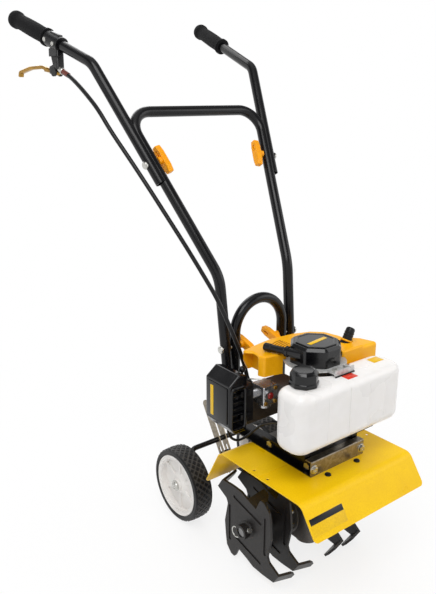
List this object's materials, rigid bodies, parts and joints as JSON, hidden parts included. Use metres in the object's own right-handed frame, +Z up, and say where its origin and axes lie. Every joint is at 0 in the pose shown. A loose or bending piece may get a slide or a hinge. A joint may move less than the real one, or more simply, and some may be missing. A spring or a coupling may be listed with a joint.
{
  "type": "garden tiller",
  "caption": "Small petrol garden tiller with folding handlebar, throttle lever, engine over a yellow shield, worm gearbox, pinwheel tines and height-adjustable transport wheels.",
  "frame": {"origin": "on the ground, in the middle of the machine's own box", "axes": "+X to the machine's left, +Y to its rear, +Z up"},
  "size_m": [0.5416, 0.8802, 1.1038],
  "materials": {
    "black_gloss_paint": "gloss black paint",
    "black_foam": "matt black foam",
    "black_rubber": "soft black rubber",
    "orange_plastic": "orange-yellow moulded plastic",
    "yellow_paint": "gloss yellow paint",
    "yellow_plastic": "yellow moulded plastic",
    "zinc": "zinc plated",
    "brass": "brass coloured",
    "clamp_alloy": "black cast alloy",
    "cast_alloy": "cast aluminium",
    "steel": "plain steel",
    "bronze": "bronze",
    "tine_paint": "dark grey paint",
    "black_plastic": "black moulded plastic",
    "red_bulb": "dark red soft bulb",
    "filter_foam": "filter foam",
    "milky_plastic": "milky translucent plastic",
    "white_plastic": "white moulded plastic",
    "tyre": "black tyre"
  },
  "bodies": {
    "machine": {"frame_hoop": "black_gloss_paint", "right_rail": "black_gloss_paint", "left_rail": "black_gloss_paint", "front_plate": "zinc", "tank_cradle": "black_gloss_paint", "frame_bolts": "zinc", "tine_shield": "yellow_paint", "rear_hitch": "black_gloss_paint", "gearbox_bearings": "steel", "gearbox_right_half": "cast_alloy", "gearbox_left_half": "cast_alloy", "clutch_housing": "cast_alloy", "fan_housing": "cast_alloy", "crankcase": "cast_alloy", "engine_cylinder": "cast_alloy", "spark_plug_boot": "black_rubber", "muffler": "steel", "engine_shroud": "yellow_plastic", "deck_plate": "zinc", "recoil_cover": "black_plastic", "right_tank_half": "milky_plastic", "left_tank_half": "milky_plastic", "fuel_line": "black_rubber", "carburettor": "cast_alloy", "air_filter_base": "black_plastic", "air_filter_cover": "black_plastic", "air_filter_element": "filter_foam"},
    "handlebar": {"lower_handle": "black_gloss_paint", "handle_bolts": "zinc", "right_upper_handle": "black_gloss_paint", "left_upper_handle": "black_gloss_paint", "right_grip": "black_foam", "left_grip": "black_foam", "throttle_bracket": "clamp_alloy", "throttle_cable": "black_rubber"},
    "throttle_lever": {"throttle_lever": "brass"},
    "right_handle_knob": {"right_handle_knob": "orange_plastic"},
    "left_handle_knob": {"left_handle_knob": "orange_plastic"},
    "right_pivot_knob": {"right_pivot_knob": "orange_plastic"},
    "left_pivot_knob": {"left_pivot_knob": "orange_plastic"},
    "fuel_cap": {"fuel_cap": "black_plastic"},
    "primer_bulb": {"primer_bulb": "red_bulb"},
    "starter_pulley": {"starter_pulley": "black_plastic"},
    "starter_handle": {"starter_handle": "black_plastic"},
    "crank": {"crankshaft": "steel", "flywheel": "steel", "clutch_rotor": "steel"},
    "drive": {"drive_shaft": "steel", "clutch_drum": "steel"},
    "tines": {"tine_shaft": "steel", "worm_wheel": "bronze", "right_tines": "tine_paint", "left_tines": "tine_paint", "tine_pins": "zinc"},
    "wheel_carrier": {"wheel_strut": "zinc", "wheel_axle": "black_gloss_paint"},
    "right_wheel": {"right_wheel": "white_plastic", "right_tyre": "tyre"},
    "left_wheel": {"left_wheel": "white_plastic", "left_tyre": "tyre"}
  },
  "joints": [
    {"name": "handlebar_fold", "type": "hinge", "parent": "machine", "child": "handlebar", "pos_m": [0, -0.11395, 0.436], "axis": [1, 0, 0], "range_deg": [-60, 40], "deforming": ["throttle_cable"]},
    {"name": "throttle_squeeze", "type": "hinge", "parent": "handlebar", "child": "throttle_lever", "pos_m": [-0.23703, 0.26883, 0.97156], "axis": [0.9871, 0.1603, 0], "range_deg": [0, 22], "stiffness_Nm_per_rad": 1, "springref_deg": -17.19},
    {"name": "right_handle_knob_turn", "type": "hinge", "parent": "handlebar", "child": "right_handle_knob", "pos_m": [-0.13835, 0.04304, 0.79907], "axis": [0.9759, 0.119, 0.1832], "continuous": true},
    {"name": "right_pivot_knob_turn", "type": "hinge", "parent": "machine", "child": "right_pivot_knob", "pos_m": [-0.0527, -0.11395, 0.436], "axis": [1, 0, 0], "continuous": true},
    {"name": "left_handle_knob_turn", "type": "hinge", "parent": "handlebar", "child": "left_handle_knob", "pos_m": [0.13835, 0.04304, 0.79907], "axis": [-0.9759, 0.119, 0.1832], "continuous": true},
    {"name": "left_pivot_knob_turn", "type": "hinge", "parent": "machine", "child": "left_pivot_knob", "pos_m": [0.0527, -0.11395, 0.436], "axis": [-1, 0, 0], "continuous": true},
    {"name": "fuel_cap_turn", "type": "hinge", "parent": "machine", "child": "fuel_cap", "pos_m": [-0.087, -0.33495, 0.436], "axis": [0, 0, 1], "continuous": true},
    {"name": "primer_push", "type": "slide", "parent": "machine", "child": "primer_bulb", "axis": [0, 1, 0], "range_m": [0, 0.003], "stiffness_N_per_m": 400, "springref_m": -0.002},
    {"name": "starter_pulley_spin", "type": "hinge", "parent": "machine", "child": "starter_pulley", "pos_m": [0, -0.27695, 0.464], "axis": [0, 0, -1], "range_deg": [0, 65], "stiffness_Nm_per_rad": 0.1, "springref_deg": -28.65},
    {"name": "starter_pull", "type": "slide", "parent": "machine", "child": "starter_handle", "axis": [-0.33, 0.944, 0], "range_m": [0, 0.045]},
    {"name": "crank_spin", "type": "hinge", "parent": "machine", "child": "crank", "pos_m": [0, -0.27695, 0.4], "axis": [0, 0, 1], "continuous": true},
    {"name": "drive_spin", "type": "hinge", "parent": "machine", "child": "drive", "pos_m": [0, -0.27695, 0.2], "axis": [0, 0, 1], "continuous": true},
    {"name": "tine_spin", "type": "hinge", "parent": "machine", "child": "tines", "pos_m": [0, -0.23095, 0.093], "axis": [1, 0, 0], "continuous": true},
    {"name": "wheel_height", "type": "slide", "parent": "machine", "child": "wheel_carrier", "axis": [0, 0.5226, 0.8526], "range_m": [-0.02, 0.04]},
    {"name": "right_wheel_spin", "type": "hinge", "parent": "wheel_carrier", "child": "right_wheel", "pos_m": [-0.144, -0.00295, 0.0845], "axis": [1, 0, 0], "continuous": true},
    {"name": "left_wheel_spin", "type": "hinge", "parent": "wheel_carrier", "child": "left_wheel", "pos_m": [0.144, -0.00295, 0.0845], "axis": [1, 0, 0], "continuous": true}
  ],
  "couplings": [
    {"joint": "starter_pull", "follows": "starter_pulley_spin", "m_per_rad": 0.0395},
    {"joint": "drive_spin", "follows": "tine_spin", "ratio": 30}
  ]
}
